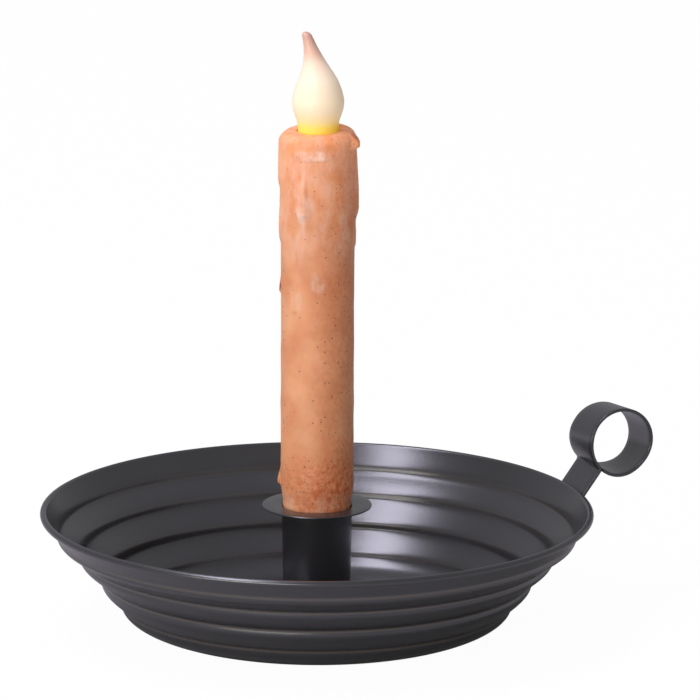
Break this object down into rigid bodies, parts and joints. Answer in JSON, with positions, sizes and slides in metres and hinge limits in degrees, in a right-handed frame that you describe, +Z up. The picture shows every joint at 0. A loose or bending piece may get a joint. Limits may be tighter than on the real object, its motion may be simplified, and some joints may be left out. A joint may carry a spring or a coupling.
{
  "type": "taper candle holder",
  "caption": "Round sheet-steel chamberstick with ribbed pan, flanged candle cup and strip ring handle, holding a wax-dipped battery taper with a soft flame, bayonet cap and slide switch",
  "frame": {"origin": "on the axis of the round pan, in the plane of the table that it stands on", "axes": "+Z up along the candle; +X from the axis towards the ring handle; +Y completes the right-handed frame"},
  "size_m": [0.2092, 0.1832, 0.2022],
  "materials": {
    "painted_steel": "satin black powder coat over deep-drawn steel sheet",
    "wax": "hand-dipped paraffin wax, semi-gloss, with runs and brown specks",
    "tube_plastic": "injection-moulded plastic, fine matt grain",
    "flame_silicone": "soft translucent silicone, lit from inside",
    "lens_resin": "clear cast epoxy",
    "tinned_wire": "tinned drawn wire",
    "board_laminate": "glass-fibre laminate under green lacquer",
    "black_plastic": "moulded black plastic",
    "nickel_strip": "nickel-plated spring steel",
    "cell_sleeve": "printed shrink sleeve over a steel can",
    "red_sleeve": "extruded wire sleeve",
    "black_sleeve": "extruded wire sleeve"
  },
  "bodies": {
    "holder": {"pan": "painted_steel", "candle_cup": "painted_steel", "handle_strip": "painted_steel"},
    "candle": {"wax_coat": "wax", "candle_tube": "tube_plastic", "lamp_carrier": "tube_plastic", "flame_tip": "flame_silicone", "led": "lens_resin", "led_lead_plus": "tinned_wire", "led_lead_minus": "tinned_wire", "driver_board": "board_laminate", "driver_chip": "black_plastic", "top_contact": "nickel_strip", "cell_upper": "cell_sleeve", "cell_lower": "cell_sleeve", "contact_strip": "nickel_strip"},
    "cap": {"base_cap": "tube_plastic", "switch_body": "black_plastic", "cap_insulator": "tube_plastic", "contact_ring": "nickel_strip", "battery_spring": "nickel_strip", "switch_wire_ring": "red_sleeve", "switch_wire_spring": "black_sleeve"},
    "switch": {"switch_knob": "black_plastic"}
  },
  "joints": [
    {"name": "candle_lift", "type": "slide", "parent": "holder", "child": "candle", "axis": [0, 0, 1], "range_m": [0, 0.045]},
    {"name": "base_cap_turn", "type": "hinge", "parent": "candle", "child": "cap", "pos_m": [0, 0, 0.0045], "axis": [0, 0, 1], "range_deg": [0, 40]},
    {"name": "power_switch", "type": "slide", "parent": "cap", "child": "switch", "axis": [1, 0, 0], "range_m": [0, 0.002]}
  ]
}
